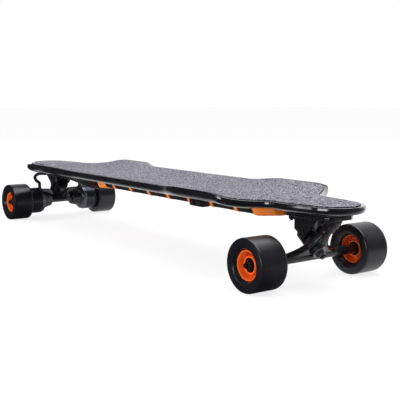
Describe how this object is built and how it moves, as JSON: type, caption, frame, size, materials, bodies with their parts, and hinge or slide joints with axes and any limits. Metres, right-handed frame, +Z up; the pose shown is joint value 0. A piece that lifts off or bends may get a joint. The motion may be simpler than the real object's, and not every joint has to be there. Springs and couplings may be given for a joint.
{
  "type": "electric_longboard",
  "caption": "Double-ended electric longboard with a flexible segmented battery tray, steering trucks and two rear hub motors",
  "frame": {"origin": "on the ground under the middle of the board, midway between the two axles", "axes": "+X towards the nose (the end without motors), +Y to the rider's left, +Z up"},
  "size_m": [1.0632, 0.27, 0.1382],
  "materials": {
    "lacquered_board": "gloss black lacquer",
    "grip_grit": "rough mineral grit",
    "orange_rubber": "satin moulded",
    "black_plastic": "satin moulded",
    "cell_wrap": "shrink wrap",
    "circuit_board": "solder mask",
    "black_metal": "satin powder coat",
    "steel": "zinc plated",
    "soft_black": "matt urethane",
    "tyre_urethane": "satin urethane",
    "core_orange": "gloss moulded",
    "motor_shell": "dark anodised",
    "motor_end": "black anodised",
    "cable_rubber": "matt sleeve"
  },
  "bodies": {
    "board": {"deck": "lacquered_board", "grip_tape": "grip_grit", "flex_battery_tray": "orange_rubber", "segment_cover_1": "black_plastic", "segment_cover_2": "black_plastic", "segment_cover_3": "black_plastic", "segment_cover_4": "black_plastic", "segment_cover_5": "black_plastic", "segment_cover_6": "black_plastic", "segment_cover_7": "black_plastic", "segment_cover_8": "black_plastic", "battery_pack": "cell_wrap", "controller_housing": "black_plastic", "controller_board": "circuit_board", "charge_port": "black_plastic", "front_riser": "soft_black", "front_baseplate": "black_metal", "front_kingpin": "steel", "front_kingpin_nut": "steel", "front_cup_washer": "steel", "front_boardside_bushing": "soft_black", "front_roadside_bushing": "soft_black", "front_pivot_cup": "soft_black", "rear_riser": "soft_black", "rear_baseplate": "black_metal", "rear_kingpin": "steel", "rear_kingpin_nut": "steel", "rear_cup_washer": "steel", "rear_boardside_bushing": "soft_black", "rear_roadside_bushing": "soft_black", "rear_pivot_cup": "soft_black", "rear_left_motor_cable": "cable_rubber", "rear_right_motor_cable": "cable_rubber"},
    "power_button": {"power_button": "steel"},
    "port_cap": {"port_cap": "soft_black"},
    "front_hanger": {"front_hanger": "black_metal", "front_axle": "steel", "front_left_axle_nut": "black_metal", "front_right_axle_nut": "black_metal"},
    "rear_hanger": {"rear_hanger": "black_metal", "rear_axle": "steel", "rear_left_axle_nut": "black_metal", "rear_right_axle_nut": "black_metal", "rear_left_motor_stator": "motor_end", "rear_right_motor_stator": "motor_end"},
    "front_left_wheel": {"front_left_tyre": "tyre_urethane", "front_left_core": "core_orange", "front_left_bearings": "steel"},
    "front_right_wheel": {"front_right_tyre": "tyre_urethane", "front_right_core": "core_orange", "front_right_bearings": "steel"},
    "rear_left_wheel": {"rear_left_tyre": "tyre_urethane", "rear_left_core": "core_orange", "rear_left_bearings": "steel", "rear_left_motor_can": "motor_shell"},
    "rear_right_wheel": {"rear_right_tyre": "tyre_urethane", "rear_right_core": "core_orange", "rear_right_bearings": "steel", "rear_right_motor_can": "motor_shell"}
  },
  "joints": [
    {"name": "front_steering", "type": "hinge", "parent": "board", "child": "front_hanger", "pos_m": [0.4465, 0, 0.0575], "axis": [0.6428, 0, 0.766], "range_deg": [-15, 15], "stiffness_Nm_per_rad": 60, "deforming": ["front_boardside_bushing", "front_roadside_bushing", "front_pivot_cup"]},
    {"name": "rear_steering", "type": "hinge", "parent": "board", "child": "rear_hanger", "pos_m": [-0.4465, 0, 0.0575], "axis": [-0.6428, 0, 0.766], "range_deg": [-15, 15], "stiffness_Nm_per_rad": 60, "deforming": ["rear_boardside_bushing", "rear_roadside_bushing", "rear_pivot_cup", "rear_left_motor_cable", "rear_right_motor_cable"]},
    {"name": "front_left_wheel_spin", "type": "hinge", "parent": "front_hanger", "child": "front_left_wheel", "pos_m": [0.436, 0.1115, 0.0415], "axis": [0, 1, 0], "continuous": true},
    {"name": "front_right_wheel_spin", "type": "hinge", "parent": "front_hanger", "child": "front_right_wheel", "pos_m": [0.436, -0.1115, 0.0415], "axis": [0, 1, 0], "continuous": true},
    {"name": "rear_left_wheel_spin", "type": "hinge", "parent": "rear_hanger", "child": "rear_left_wheel", "pos_m": [-0.436, 0.1115, 0.0415], "axis": [0, 1, 0], "continuous": true},
    {"name": "rear_right_wheel_spin", "type": "hinge", "parent": "rear_hanger", "child": "rear_right_wheel", "pos_m": [-0.436, -0.1115, 0.0415], "axis": [0, 1, 0], "continuous": true},
    {"name": "power_button_press", "type": "slide", "parent": "board", "child": "power_button", "axis": [0, 1, 0], "range_m": [0, 0.0012], "stiffness_N_per_m": 300},
    {"name": "port_cap_hinge", "type": "hinge", "parent": "board", "child": "port_cap", "pos_m": [0.2545, -0.0798, 0.1092], "axis": [0, 0, 1], "range_deg": [0, 110]}
  ]
}
